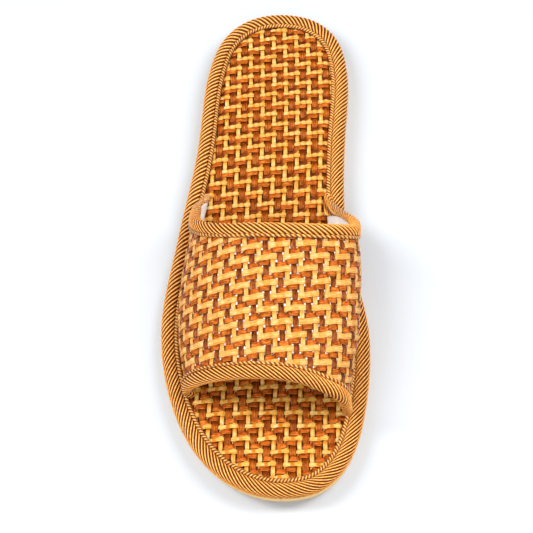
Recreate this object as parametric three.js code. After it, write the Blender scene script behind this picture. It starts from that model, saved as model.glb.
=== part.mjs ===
// A woven slipper for the right foot: open toe, open back, one woven vamp on a flat sole with a bound edge.
// Millimetres. +X is the inner (medial) side of the foot, +Y the heel, +Z up. The toe points along -Y.
import * as THREE from "three";
import { LoftGeometry } from "three/addons/geometries/LoftGeometry.js";

const { clamp, degToRad, lerp, smoothstep } = THREE.MathUtils;

// Clearance between pieces that meet
const GAP = 0.3;

// Plan of the sole: half length, and the line from toe tip to heel tip that the widths are measured from
const HALF_LENGTH = 134.5;
const TOE_TIP_X = 10;
const HEEL_TIP_X = 2;

// Half widths of the plan, by the angle of an ellipse of that half length: 0 at the toe tip, 180 at the heel.
// A half width counts in full at 90 degrees, and by the sine of the angle elsewhere, which rounds both ends.
const PLAN = [
  { angle: 0, lateral: 76, medial: 86 },
  { angle: 22.5, lateral: 75, medial: 68.5 },
  { angle: 45, lateral: 70, medial: 55.5 },
  { angle: 67.5, lateral: 63, medial: 46.5 },
  { angle: 90, lateral: 51.5, medial: 33.5 },
  { angle: 112.5, lateral: 46, medial: 36 },
  { angle: 135, lateral: 54, medial: 50.5 },
  { angle: 157.5, lateral: 67.5, medial: 69 },
  { angle: 180, lateral: 77.5, medial: 83 },
];

// Side view of the sole: it rests from ball front to ball back and from seat front to seat back
const BALL_FRONT_Y = -95;
const BALL_BACK_Y = -28;
const SEAT_FRONT_Y = 60;
const SEAT_BACK_Y = 118;
const TOE_SPRING = 4;
const WAIST_LIFT = 1.6;
const HEEL_BEVEL = 1;
const FOREFOOT_THICKNESS = 6;
const HEEL_THICKNESS = 8;
const WEDGE_FRONT_Y = -20;
const FOOTBED_THICKNESS = 5.4;
const FOOTBED_INSET = 2.8;
const FOOTBED_TOP = GAP + FOOTBED_THICKNESS;

// Edge of the outsole, from the ground up: how far inside the plan, and at what share of the thickness
const OUTSOLE_EDGE = [
  { inset: 1.9, share: 0 },
  { inset: 1, share: 0.2 },
  { inset: 1, share: 0.8 },
  { inset: 1.4, share: 1 },
];

// Section of the padded tape round the footbed: inset from the plan, and height above the outsole
const TAPE_WALL_INSET = FOOTBED_INSET - GAP;
const TAPE_INNER_INSET = 9.4;
const SOLE_TAPE = [
  { inset: 0.9, height: GAP },
  { inset: TAPE_WALL_INSET, height: GAP },
  { inset: TAPE_WALL_INSET, height: FOOTBED_TOP + GAP },
  { inset: TAPE_INNER_INSET, height: FOOTBED_TOP + GAP },
  { inset: TAPE_INNER_INSET, height: FOOTBED_TOP + 0.8 },
  { inset: 7.6, height: FOOTBED_TOP + 1.2 },
  { inset: 4.4, height: FOOTBED_TOP + 1.9 },
  { inset: 1.6, height: FOOTBED_TOP + 1.3 },
  { inset: 0.35, height: FOOTBED_TOP - 0.2 },
  { inset: 0, height: 3 },
];

// Cross sections of the vamp, from the heel side to the toe: its rise above the footbed,
// where its ridge runs, and how far its walls swell out beyond their feet
const VAMP = [
  { y: 40, rise: 48, ridge: 3, lateralSwell: 2, medialSwell: 13.5 },
  { y: -14, rise: 46, ridge: 4, lateralSwell: 2, medialSwell: 13.5 },
  { y: -52, rise: 39.5, ridge: 6.5, lateralSwell: 0.6, medialSwell: 5.5 },
  { y: -100, rise: 33, ridge: 9.5, lateralSwell: 0.4, medialSwell: 1.5 },
];
const WALL = 2;
const FOOT_INSET = TAPE_INNER_INSET + GAP;

// The vamp's two sides: how full the crown is, the share of the rise where the wall swells most,
// and the share of the way across that belongs to the crown
const LATERAL = { power: 2 / 1.8, waist: 0.15, crown: 0.85, swell: "lateralSwell", side: -1 };
const MEDIAL = { power: 2 / 2.3, waist: 0.42, crown: 0.72, swell: "medialSwell", side: 1 };

// The throat edge: its station at the ridge, how it sweeps back to the feet, and how it is trimmed from that
const THROAT_Y = -16.2;
const THROAT_SWEEP = 39;
const THROAT_POWER = 1.9;
const THROAT_TRIM = [
  { across: -1, y: 0 },
  { across: -0.78, y: 1.6 },
  { across: -0.6, y: 3 },
  { across: -0.43, y: 2.3 },
  { across: -0.2, y: 0.4 },
  { across: 0, y: -0.7 },
  { across: 0.2, y: -0.3 },
  { across: 0.43, y: 1 },
  { across: 0.6, y: 0.8 },
  { across: 1, y: 0 },
];

// The toe edge: its station at places across the vamp, lateral foot to medial foot
const TOE_EDGE = [
  { across: -1, y: -84 },
  { across: 0, y: -87.4 },
  { across: 0.35, y: -92 },
  { across: 0.7, y: -94 },
  { across: 1, y: -93.2 },
];

// Section of the tape folded over an edge of the vamp: distance in from the edge, and from mid wall
const FOLD_GAP = 0.4;
const FOLD_INNER = WALL / 2 + FOLD_GAP;
const FOLD_OUTER = FOLD_INNER + 1;
const FOLD_END = 0.6;
const FOLD_WIDTH = 6.5;
const FOLD = [
  { along: -FOLD_END, out: -FOLD_OUTER },
  { along: FOLD_WIDTH / 2, out: -FOLD_OUTER },
  { along: FOLD_WIDTH, out: -FOLD_OUTER },
  { along: FOLD_WIDTH, out: -FOLD_INNER },
  { along: FOLD_WIDTH / 2, out: -FOLD_INNER },
  { along: -FOLD_END, out: -FOLD_INNER },
  { along: -FOLD_END, out: FOLD_INNER },
  { along: FOLD_WIDTH / 2, out: FOLD_INNER },
  { along: FOLD_WIDTH, out: FOLD_INNER },
  { along: FOLD_WIDTH, out: FOLD_OUTER },
  { along: FOLD_WIDTH / 2, out: FOLD_OUTER },
  { along: -FOLD_END, out: FOLD_OUTER },
  { along: -FOLD_END - 1, out: FOLD_OUTER * 0.5 },
  { along: -FOLD_END - 1, out: -FOLD_OUTER * 0.5 },
];

// Steps of the lofts
const SOLE_STEPS = 48;
const RING_STEPS = 96;
const VAMP_STEPS_ACROSS = 48;
const VAMP_STEPS_ALONG = 20;
const NUDGE = 1e-3;

// A column of a table at a place between its rows: cubic from row to row, and level at both ends
function column(table, key, name, place) {
  const last = table.length - 1;
  const rising = table[last][key] > table[0][key];
  const rows = rising ? table : [...table].reverse();
  const at = clamp(place, rows[0][key], rows[last][key]);
  let i = 0;
  while (i < last - 1 && at > rows[i + 1][key]) i++;
  const slope = (k) => {
    if (k === 0 || k === last) return 0;
    return (rows[k + 1][name] - rows[k - 1][name]) / (rows[k + 1][key] - rows[k - 1][key]);
  };
  const span = rows[i + 1][key] - rows[i][key];
  const t = (at - rows[i][key]) / span;
  const ease = t * t * (3 - 2 * t);
  const leave = t * (1 - t) * (1 - t) * span * slope(i);
  const arrive = t * t * (1 - t) * span * slope(i + 1);
  return lerp(rows[i][name], rows[i + 1][name], ease) + leave - arrive;
}

// A point of the plan by its turn from the toe tip, positive round the medial side
function plan(turn) {
  const y = -HALF_LENGTH * Math.cos(turn);
  const axis = lerp(TOE_TIP_X, HEEL_TIP_X, (y + HALF_LENGTH) / (2 * HALF_LENGTH));
  const side = Math.sin(turn) < 0 ? "lateral" : "medial";
  const angle = Math.acos(clamp(Math.cos(turn), -1, 1));
  const halfWidth = column(PLAN, "angle", side, angle / degToRad(1));
  return new THREE.Vector2(axis + Math.sin(turn) * halfWidth, y);
}

// The same point, moved straight in from the edge
function rim(turn, inset) {
  const way = plan(turn + NUDGE).sub(plan(turn - NUDGE)).normalize();
  return plan(turn).add(new THREE.Vector2(-way.y, way.x).multiplyScalar(inset));
}

// Where the plan, moved in by the inset, crosses a station of the foot on one side
function rimX(y, side, inset) {
  let near = 0;
  let far = Math.PI;
  for (let i = 0; i < 40; i++) {
    const middle = (near + far) / 2;
    if (rim(side * middle, inset).y < y) near = middle;
    else far = middle;
  }
  return rim(side * near, inset).x;
}

function toeSpring(y) {
  const share = clamp((BALL_FRONT_Y - y) / (BALL_FRONT_Y + HALF_LENGTH), 0, 1);
  return TOE_SPRING * share * share;
}

function underside(y) {
  const waist = clamp((y - BALL_BACK_Y) / (SEAT_FRONT_Y - BALL_BACK_Y), 0, 1);
  const back = clamp((y - SEAT_BACK_Y) / (HALF_LENGTH - SEAT_BACK_Y), 0, 1);
  return toeSpring(y) + WAIST_LIFT * Math.sin(Math.PI * waist) ** 2 + HEEL_BEVEL * back * back;
}

function outsoleTop(y) {
  const wedge = smoothstep(y, WEDGE_FRONT_Y, SEAT_FRONT_Y);
  return toeSpring(y) + lerp(FOREFOOT_THICKNESS, HEEL_THICKNESS, wedge);
}

// A point of the sole: turn and inset in plan, and height above the outsole
function onSole(turn, inset, height) {
  const p = rim(turn, inset);
  return new THREE.Vector3(p.x, p.y, outsoleTop(p.y) + height);
}

// A slab of the sole, lofted from toe to heel through sections that run up one side and down the other
function slab(edge) {
  const sections = [];
  for (let i = 0; i <= SOLE_STEPS; i++) {
    const turn = (Math.PI * i) / SOLE_STEPS;
    const lateral = edge.map((place) => place(-turn));
    const medial = edge.map((place) => place(turn));
    sections.push([...lateral, ...medial.reverse()]);
  }
  return new LoftGeometry(sections);
}

function outsole() {
  return slab(
    OUTSOLE_EDGE.map(({ inset, share }) => (turn) => {
      const p = rim(turn, inset);
      return new THREE.Vector3(p.x, p.y, lerp(underside(p.y), outsoleTop(p.y), share));
    }),
  );
}

function insole() {
  return slab([GAP, FOOTBED_TOP].map((height) => (turn) => onSole(turn, FOOTBED_INSET, height)));
}

function soleBinding() {
  const sections = [];
  for (let i = 0; i <= RING_STEPS; i++) {
    const turn = (2 * Math.PI * (i % RING_STEPS)) / RING_STEPS - Math.PI;
    sections.push(SOLE_TAPE.map(({ inset, height }) => onSole(turn, inset, height)));
  }
  return new LoftGeometry(sections);
}

// Where a place across the vamp lies on its section: -1 at its lateral foot,
// 0 on the ridge, 1 at its medial foot.
// The crown is a quarter ellipse down to the waist, and the wall below it runs in to the foot.
function profile(across) {
  const { power, waist, crown } = across < 0 ? LATERAL : MEDIAL;
  const reach = Math.abs(across);
  if (reach <= crown) {
    const angle = ((reach / crown) * Math.PI) / 2;
    const drop = Math.max(Math.cos(angle), 0) ** power;
    return { spread: Math.sin(angle) ** power, swell: 1, level: lerp(waist, 1, drop) };
  }
  const left = (1 - reach) / (1 - crown);
  return { spread: 1, swell: left * left * (3 - 2 * left), level: waist * left };
}

// The vamp's outer surface at a place across it and a station of the foot
function vampSkin(across, y) {
  const { swell: swellName, side } = across < 0 ? LATERAL : MEDIAL;
  const { spread, swell, level } = profile(across);
  const wallX = rimX(y, side, FOOT_INSET) + side * column(VAMP, "y", swellName, y) * swell;
  const x = lerp(column(VAMP, "y", "ridge", y), wallX, spread);
  const z = outsoleTop(y) + FOOTBED_TOP + GAP + column(VAMP, "y", "rise", y) * level;
  return new THREE.Vector3(x, y, z);
}

function throatY(across) {
  const sweep = THROAT_SWEEP * (1 - profile(across).level) ** THROAT_POWER;
  return THROAT_Y + sweep + column(THROAT_TRIM, "across", "y", across);
}

function toeEdgeY(across) {
  return column(TOE_EDGE, "across", "y", across);
}

// A point of the vamp: its place across, its share of the way from throat to toe, and its depth in the wall
function onVamp(across, share, depth) {
  const place = (a, s) => vampSkin(a, lerp(throatY(a), toeEdgeY(a), s));
  const middle = clamp(across, -1 + NUDGE, 1 - NUDGE);
  const over = place(middle + NUDGE, share).sub(place(middle - NUDGE, share));
  const along = place(middle, share + NUDGE).sub(place(middle, share - NUDGE));
  const outward = along.cross(over).normalize();
  return place(across, share).addScaledVector(outward, -depth);
}

function upper() {
  const sections = [];
  for (let i = 0; i <= VAMP_STEPS_ACROSS; i++) {
    const across = (2 * i) / VAMP_STEPS_ACROSS - 1;
    const outer = [];
    const inner = [];
    for (let j = 0; j <= VAMP_STEPS_ALONG; j++) {
      const share = j / VAMP_STEPS_ALONG;
      outer.push(onVamp(across, share, 0));
      inner.push(onVamp(across, share, WALL));
    }
    sections.push([...outer, ...inner.reverse()]);
  }
  return new LoftGeometry(sections, { capStart: true, capEnd: true });
}

// Tape folded over an edge of the vamp, at share 0 or 1, and ending a step above the vamp's feet.
// Its width is measured square to the edge.
function vampBinding(edgeShare) {
  const inwards = edgeShare === 0 ? 1 : -1;
  const ring = edgeShare === 0 ? [...FOLD].reverse() : FOLD;
  const sections = [];
  for (let i = 1; i < VAMP_STEPS_ACROSS; i++) {
    const across = (2 * i) / VAMP_STEPS_ACROSS - 1;
    const run = throatY(across) - toeEdgeY(across);
    const edgeWay = onVamp(across + NUDGE, edgeShare, 0).sub(onVamp(across - NUDGE, edgeShare, 0));
    const footWay = onVamp(across, edgeShare + NUDGE, 0).sub(onVamp(across, edgeShare - NUDGE, 0));
    const square = edgeWay.normalize().cross(footWay.normalize()).length();
    sections.push(
      ring.map(({ along, out }) => {
        return onVamp(across, edgeShare + (inwards * along) / (square * run), WALL / 2 - out);
      }),
    );
  }
  return new LoftGeometry(sections, { capStart: true, capEnd: true });
}

function piece(name, geometry, color, roughness) {
  const material = new THREE.MeshStandardMaterial({ color, roughness, metalness: 0 });
  const mesh = new THREE.Mesh(geometry, material);
  mesh.name = name;
  return mesh;
}

const slipper = new THREE.Group();
slipper.add(
  piece("outsole", outsole(), 0xe6bd85, 0.7),
  piece("insole", insole(), 0xc88a3a, 0.75),
  piece("sole_binding", soleBinding(), 0xcf8b3c, 0.6),
  piece("upper", upper(), 0xd89a45, 0.65),
  piece("throat_binding", vampBinding(0), 0xcf8b3c, 0.6),
  piece("toe_binding", vampBinding(1), 0xcf8b3c, 0.6),
);

// The origin is on the ground under the middle of the slipper's box
const box = new THREE.Box3().setFromObject(slipper);
const middle = box.getCenter(new THREE.Vector3());
for (const mesh of slipper.children) mesh.position.set(-middle.x, -middle.y, -box.min.z);

export default slipper;
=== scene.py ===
# Looks of a woven slipper for the right foot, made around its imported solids.
# Shapes are worked out in millimetres in the sole plan's frame, and placed in metres in the part's.
import math

import bpy
import numpy as np
from mathutils import Matrix, Vector

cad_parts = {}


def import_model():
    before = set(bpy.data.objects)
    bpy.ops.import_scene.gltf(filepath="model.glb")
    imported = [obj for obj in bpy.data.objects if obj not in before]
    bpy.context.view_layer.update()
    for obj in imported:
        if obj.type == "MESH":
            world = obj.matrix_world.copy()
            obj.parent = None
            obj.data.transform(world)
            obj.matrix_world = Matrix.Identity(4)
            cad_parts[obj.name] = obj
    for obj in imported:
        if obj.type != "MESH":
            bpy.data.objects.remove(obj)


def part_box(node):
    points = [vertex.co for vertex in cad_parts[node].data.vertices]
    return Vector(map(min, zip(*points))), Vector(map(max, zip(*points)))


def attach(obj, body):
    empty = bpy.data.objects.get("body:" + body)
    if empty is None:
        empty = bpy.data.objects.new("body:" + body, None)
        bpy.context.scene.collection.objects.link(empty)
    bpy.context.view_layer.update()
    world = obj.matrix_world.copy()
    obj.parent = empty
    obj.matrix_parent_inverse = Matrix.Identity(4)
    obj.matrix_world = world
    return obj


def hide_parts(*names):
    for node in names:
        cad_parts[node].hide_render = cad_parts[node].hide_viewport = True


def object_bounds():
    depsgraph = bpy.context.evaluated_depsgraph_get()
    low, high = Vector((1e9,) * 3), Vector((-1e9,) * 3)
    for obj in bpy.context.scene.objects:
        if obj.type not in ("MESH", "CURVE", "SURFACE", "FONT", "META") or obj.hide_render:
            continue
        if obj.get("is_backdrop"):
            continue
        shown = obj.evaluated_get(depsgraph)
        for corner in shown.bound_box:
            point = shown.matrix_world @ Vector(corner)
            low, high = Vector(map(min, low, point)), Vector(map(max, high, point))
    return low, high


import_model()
cad_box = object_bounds()

MM = 0.001

# Plan of the sole: half widths by the angle of an ellipse, 0 at the toe tip and 180 at the heel
HALF_LENGTH = 134.5
TOE_TIP_X = 10
HEEL_TIP_X = 2
PLAN = {
    "angle": [0, 22.5, 45, 67.5, 90, 112.5, 135, 157.5, 180],
    "lateral": [76, 75, 70, 63, 51.5, 46, 54, 67.5, 77.5],
    "medial": [86, 68.5, 55.5, 46.5, 33.5, 36, 50.5, 69, 83],
}

# Side view of the sole
BALL_FRONT_Y = -95
BALL_BACK_Y = -28
SEAT_FRONT_Y = 60
SEAT_BACK_Y = 118
TOE_SPRING = 4
WAIST_LIFT = 1.6
HEEL_BEVEL = 1
FOREFOOT_THICKNESS = 6
HEEL_THICKNESS = 8
WEDGE_FRONT_Y = -20
FOOTBED_TOP = 5.7

# Cross sections of the vamp from toe to heel side, as in the solid but with feet tucked under the tape
VAMP = {
    "y": [-100, -52, -14, 40],
    "rise": [33, 39.5, 46, 48],
    "ridge": [9.5, 6.5, 4, 3],
    "lateral": [0.7, 0.9, 2.3, 2.3],
    "medial": [-0.6, 3.4, 11.4, 11.4],
}
WALL = 2
FOOT_INSET = {"lateral": 10, "medial": 7.6}
FOOT_GAP = 0.3
LATERAL = {"power": 2 / 1.8, "waist": 0.15, "crown": 0.85}
MEDIAL = {"power": 2 / 2.3, "waist": 0.42, "crown": 0.72}
THROAT_Y = -16.2
THROAT_SWEEP = 39
THROAT_POWER = 1.9
THROAT_TRIM = {
    "across": [-1, -0.78, -0.6, -0.43, -0.2, 0, 0.2, 0.43, 0.6, 1],
    "y": [0, 1.6, 3, 2.3, 0.4, -0.7, -0.3, 1, 0.8, 0],
}
TOE_EDGE = {"across": [-1, 0, 0.35, 0.7, 1], "y": [-84, -87.4, -92, -94, -93.2]}

# Steps of the tables and of the slopes taken from them
NUDGE = 1e-3
RIM_END = 0.02
RIM_STEPS = 3000
RING_STEPS = 1601
BATCH = 4000


# Small helpers for numbers
def lerp(a, b, t):
    return a + (b - a) * t


def ramp(low, high, value):
    return np.clip((value - low) / (high - low), 0, 1)


def smooth(t):
    return t * t * (3 - 2 * t)


def unit(v):
    return v / np.maximum(np.linalg.norm(v, axis=-1, keepdims=True), 1e-12)


# A table's column at places between those in its first column: cubic between rows, and level at both ends
def column(table, name, place):
    keys = np.asarray(next(iter(table.values())), float)
    values = np.asarray(table[name], float)
    slopes = np.zeros_like(values)
    slopes[1:-1] = (values[2:] - values[:-2]) / (keys[2:] - keys[:-2])
    at = np.clip(place, keys[0], keys[-1])
    i = np.clip(np.searchsorted(keys, at) - 1, 0, len(keys) - 2)
    span = keys[i + 1] - keys[i]
    t = (at - keys[i]) / span
    leave = t * (1 - t) ** 2 * span * slopes[i]
    arrive = t * t * (1 - t) * span * slopes[i + 1]
    return lerp(values[i], values[i + 1], smooth(t)) + leave - arrive


# How a shape changes from a small step before a place to one after it
def change(shape, place, step):
    return shape(place + step) - shape(place - step)


# The sole's shape, repeated from the solids
def plan(turn):
    y = -HALF_LENGTH * np.cos(turn)
    axis = lerp(TOE_TIP_X, HEEL_TIP_X, (y + HALF_LENGTH) / (2 * HALF_LENGTH))
    angle = np.degrees(np.arccos(np.clip(np.cos(turn), -1, 1)))
    lateral = column(PLAN, "lateral", angle)
    medial = column(PLAN, "medial", angle)
    half_width = np.where(np.sin(turn) < 0, lateral, medial)
    return np.stack([axis + np.sin(turn) * half_width, y], -1)


def rim(turn, inset):
    way = unit(change(plan, turn, NUDGE))
    inward = np.stack([-way[..., 1], way[..., 0]], -1)
    return plan(turn) + inward * np.asarray(inset)[..., None]


def rim_x(y, side, inset):
    turn = np.linspace(RIM_END, math.pi - RIM_END, RIM_STEPS)
    edge = rim(side * turn, inset)
    return np.interp(y, edge[:, 1], edge[:, 0])


def toe_spring(y):
    return TOE_SPRING * ramp(BALL_FRONT_Y, -HALF_LENGTH, y) ** 2


def underside(y):
    waist = np.sin(math.pi * ramp(BALL_BACK_Y, SEAT_FRONT_Y, y)) ** 2
    return toe_spring(y) + WAIST_LIFT * waist + HEEL_BEVEL * ramp(SEAT_BACK_Y, HALF_LENGTH, y) ** 2


def outsole_top(y):
    wedge = smooth(ramp(WEDGE_FRONT_Y, SEAT_FRONT_Y, y))
    return toe_spring(y) + lerp(FOREFOOT_THICKNESS, HEEL_THICKNESS, wedge)


RING = plan(np.linspace(-math.pi, math.pi, RING_STEPS))


# How far a place lies inside the plan's edge, negative outside it
def edge_distance(x, y):
    places = np.stack([np.ravel(x), np.ravel(y)], -1)
    near = np.empty(len(places))
    for start in range(0, len(places), BATCH):
        part = places[start:start + BATCH]
        gap = part[:, None, :] - RING[None, :, :]
        near[start:start + BATCH] = np.sqrt((gap ** 2).sum(-1).min(1))
    place_x, place_y = places.T
    inside = (place_x > rim_x(place_y, -1, 0)) & (place_x < rim_x(place_y, 1, 0))
    inside &= np.abs(place_y) < HALF_LENGTH
    return np.where(inside, near, -near).reshape(np.shape(x))


# The vamp's shape, repeated from the solids
# Across it, -1 is the lateral foot, 0 the ridge and 1 the medial foot
def profile(across):
    reach = np.abs(across)
    side = {}
    for name in LATERAL:
        side[name] = np.where(across < 0, LATERAL[name], MEDIAL[name])
    angle = np.clip(reach / side["crown"], 0, 1) * math.pi / 2
    drop = np.maximum(np.cos(angle), 0) ** side["power"]
    left = np.clip((1 - reach) / (1 - side["crown"]), 0, 1)
    crown = reach <= side["crown"]
    spread = np.where(crown, np.sin(angle) ** side["power"], 1)
    swell = np.where(crown, 1, smooth(left))
    level = np.where(crown, lerp(side["waist"], 1, drop), side["waist"] * left)
    return spread, swell, level


def vamp_skin(across, y):
    spread, swell, level = profile(across)
    lateral = rim_x(y, -1, FOOT_INSET["lateral"]) - column(VAMP, "lateral", y) * swell
    medial = rim_x(y, 1, FOOT_INSET["medial"]) + column(VAMP, "medial", y) * swell
    x = lerp(column(VAMP, "ridge", y), np.where(across < 0, lateral, medial), spread)
    z = outsole_top(y) + FOOTBED_TOP + FOOT_GAP + column(VAMP, "rise", y) * level
    return np.stack([x, y, z], -1)


def throat_y(across):
    sweep = THROAT_SWEEP * (1 - profile(across)[2]) ** THROAT_POWER
    return THROAT_Y + sweep + column(THROAT_TRIM, "y", across)


def toe_edge_y(across):
    return column(TOE_EDGE, "y", across)


# A point of the vamp by its share of the way from throat to toe, and its depth in the wall
def on_vamp(across, share, depth):
    def place(a, s):
        return vamp_skin(a, lerp(throat_y(a), toe_edge_y(a), s))

    middle = np.clip(across, -1 + NUDGE, 1 - NUDGE)
    over = change(lambda a: place(a, share), middle, NUDGE)
    along = change(lambda s: place(middle, s), share, NUDGE)
    outward = unit(np.cross(along, over))
    return place(across, share) - outward * np.asarray(depth)[..., None]


# Tables from a length over the vamp at one station, measured from the ridge, to its place across
STATIONS = np.linspace(-106, 50, 79)
SHARES = np.linspace(-1, 1, 401)
ARC_STEPS = 1201


def arc_tables():
    steps = np.linspace(-1, 1, ARC_STEPS)
    a, y = np.meshgrid(steps, STATIONS)
    stride = np.linalg.norm(np.diff(vamp_skin(a, y), axis=1), axis=2)
    arc = np.concatenate([np.zeros((len(STATIONS), 1)), np.cumsum(stride, 1)], 1)
    ridge = ARC_STEPS // 2
    arc -= arc[:, ridge:ridge + 1]
    across = np.empty((len(STATIONS), len(SHARES)))
    for i in range(len(STATIONS)):
        wanted = np.where(SHARES < 0, -SHARES * arc[i, 0], SHARES * arc[i, -1])
        across[i] = np.interp(wanted, arc[i], steps)
    return across, -arc[:, 0], arc[:, -1]


ACROSS, LATERAL_ARC, MEDIAL_ARC = arc_tables()


def share_of(arc, y):
    lateral = np.interp(y, STATIONS, LATERAL_ARC)
    medial = np.interp(y, STATIONS, MEDIAL_ARC)
    return arc / np.where(arc < 0, lateral, medial)


def across_at(arc, y):
    row = (np.clip(y, STATIONS[0], STATIONS[-1]) - STATIONS[0]) / (STATIONS[1] - STATIONS[0])
    col = (np.clip(share_of(arc, y), -1, 1) + 1) / (SHARES[1] - SHARES[0])
    i = np.clip(row.astype(int), 0, len(STATIONS) - 2)
    j = np.clip(col.astype(int), 0, len(SHARES) - 2)
    near = lerp(ACROSS[i, j], ACROSS[i, j + 1], col - j)
    far = lerp(ACROSS[i + 1, j], ACROSS[i + 1, j + 1], col - j)
    return lerp(near, far, row - i)


# Meshes are gathered as points, quads and a vector at each corner that the materials read
class Gather:
    def __init__(self):
        self.points = []
        self.quads = []
        self.marks = []
        self.count = 0

    def add(self, points, quads, marks):
        self.points.append(points.reshape(-1, 3))
        self.quads.append(quads + self.count)
        self.marks.append(marks)
        self.count += self.points[-1].shape[0]


# How far across the plan's frame lies in the part's frame
def plan_shift():
    low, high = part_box("sole_binding")
    middle = (low.x + high.x) / 2 / MM
    return middle - (RING[:, 0].min() + RING[:, 0].max()) / 2


SHIFT = np.array([plan_shift(), 0, 0])


def piece(name, gather, material, replaced):
    points = (np.concatenate(gather.points) + SHIFT) * MM
    quads = np.concatenate(gather.quads)
    marks = np.concatenate(gather.marks)
    mesh = bpy.data.meshes.new(name)
    mesh.vertices.add(len(points))
    mesh.vertices.foreach_set("co", points.astype(np.float32).ravel())
    mesh.loops.add(quads.size)
    mesh.loops.foreach_set("vertex_index", quads.astype(np.int32).ravel())
    mesh.polygons.add(len(quads))
    mesh.polygons.foreach_set("loop_start", np.arange(0, quads.size, 4, dtype=np.int32))
    mesh.polygons.foreach_set("use_smooth", np.ones(len(quads), bool))
    mark = mesh.attributes.new("mark", "FLOAT_VECTOR", "CORNER")
    mark.data.foreach_set("vector", marks.astype(np.float32).ravel())
    mesh.update(calc_edges=True)
    mesh.validate()
    thing = bpy.data.objects.new(name, mesh)
    bpy.context.scene.collection.objects.link(thing)
    mesh.materials.append(material)
    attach(thing, "root")
    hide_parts(*replaced)
    return thing


# Quads of a grid of points, closed or not either way, with the unwrapped row and column of each corner
def grid_quads(rows, columns, close_rows, close_columns):
    i, j = np.meshgrid(
        np.arange(rows if close_rows else rows - 1),
        np.arange(columns if close_columns else columns - 1),
        indexing="ij",
    )
    i = i.ravel()
    j = j.ravel()
    corner_i = np.stack([i, i + 1, i + 1, i], -1)
    corner_j = np.stack([j, j, j + 1, j + 1], -1)
    quads = (corner_i % rows) * columns + corner_j % columns
    return quads, corner_i, corner_j


# One strip: a closed tube of a flattened section along a centre line
SECTION = np.radians([0, 36, 72, 108, 144, 180, 240, 300])
CAP = np.array([[0, 1, 6, 7], [1, 2, 5, 6], [2, 3, 4, 5]])
STRIP_REACH = 4


def add_strip(gather, centres, normals, half_width, half_thick, squareness, marks_along, levels):
    ends = np.pad(centres, ((STRIP_REACH, STRIP_REACH), (0, 0)), mode="edge")
    along = unit(ends[2 * STRIP_REACH:] - ends[:-2 * STRIP_REACH])
    side = unit(np.cross(along, normals))
    up = np.cross(side, along)
    power = 2 / squareness
    cos = np.sign(np.cos(SECTION)) * np.abs(np.cos(SECTION)) ** power
    sin = np.sign(np.sin(SECTION)) * np.abs(np.sin(SECTION)) ** power
    points = centres[:, None, :] + side[:, None, :] * (half_width[:, None] * cos)[..., None]
    points = points + up[:, None, :] * (half_thick[:, None] * sin)[..., None]
    count = len(SECTION)
    quads = grid_quads(len(centres), count, False, True)[0]
    last = (len(centres) - 1) * count
    caps = np.concatenate([CAP, CAP[:, ::-1] + last])
    quads = np.concatenate([quads, caps])
    mark = np.empty((len(centres), count, 3))
    mark[..., 0] = marks_along[:, None]
    mark[..., 1] = cos
    mark[..., 2] = levels[:, None]
    gather.add(points, quads, mark.reshape(-1, 3)[quads].reshape(-1, 3))


# Runs of consecutive true values that are long enough to be a strip
def runs(mask, shortest):
    edges = np.flatnonzero(np.diff(np.concatenate([[0], mask.astype(int), [0]])))
    for start, stop in zip(edges[::2], edges[1::2]):
        if stop - start >= shortest:
            yield slice(start, stop)


# The weave: a 3/1 twill. Even columns and rows are yellow, odd ones brown.
# A weft goes under one column in four, and the next row's dip is one column further.
TWILL = 4
DIP = 3
HIGH_END = 2
FLOAT_END = (2.7, 3.3)
SAMPLES = 6
FRONT_ROWS = (10, 35)
STRAY_LIFT = 0.4
BEAD_LIFT = 0.5
WEAVE_SEED = 11

# What the materials read along a strip: its number, and its crossings
STRIP_MARK = 400
WARP_NUMBER = 200
CROSSING_MARK = 3.2


def weft_over(c, r):
    return (c + r) % TWILL != DIP


def eased(values, t):
    low = np.floor(t)
    return lerp(values(low), values(low + 1), smooth(t - low))


# A float lies towards the toe at its start and the heel at its end; its crossings are at 0, 1 and 2
def stepped(place, step, rise):
    up = smooth(ramp(step - rise, step + rise, place))
    down = smooth(ramp(*FLOAT_END, place))
    return 2 * (up - down) - 1


# Shapes of the four kinds of strip, with pairs for the heel and for the toe
# width, thick and square are the section's, and bead is how much it swells between crossings
# push is how far a float's ends lie aside, and step and rise are where and how slowly it crosses over
# low and high are the heights of its two ends, and knob is how much wider its high end is
# stray is how far hand weaving strays
FOOTBED_STRIPS = {
    "yellow_weft": {
        "width": 2.25, "thick": 1.2, "square": 2.8, "bead": 0.15,
        "push": (0.16, 0.16), "step": (1, 1), "rise": 1,
        "low": (-0.1, -0.1), "high": 0.2, "knob": 0.12, "stray": 0.1,
    },
    "brown_weft": {
        "width": 2.3, "thick": 0.8, "square": 4, "bead": 0,
        "push": (0.95, 0.7), "step": (0.6, 1), "rise": 0.2,
        "low": (-0.6, -0.1), "high": 0.08, "knob": 0, "stray": 0.14,
    },
    "yellow_warp": {"width": 2.15, "thick": 1.1, "square": 3.2, "stray": 0.08},
    "brown_warp": {"width": 3.4, "thick": 0.9, "square": 4.5, "stray": 0.1},
}
VAMP_STRIPS = {
    "yellow_weft": {
        "width": 2.92, "thick": 0.62, "square": 4.5, "bead": 0.03,
        "push": (0.24, 0.24), "step": (1, 1), "rise": 1,
        "low": (-0.06, -0.06), "high": 0.06, "knob": 0, "stray": 0.1,
    },
    "brown_weft": {
        "width": 2.6, "thick": 0.62, "square": 4, "bead": 0,
        "push": (0.5, 0.5), "step": (1, 1), "rise": 0.2,
        "low": (-0.1, -0.1), "high": 0.05, "knob": 0, "stray": 0.16,
    },
    "yellow_warp": {"width": 2.25, "thick": 0.6, "square": 5, "stray": 0.08},
    "brown_warp": {"width": 2.5, "thick": 0.6, "square": 5, "stray": 0.1},
}


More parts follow.
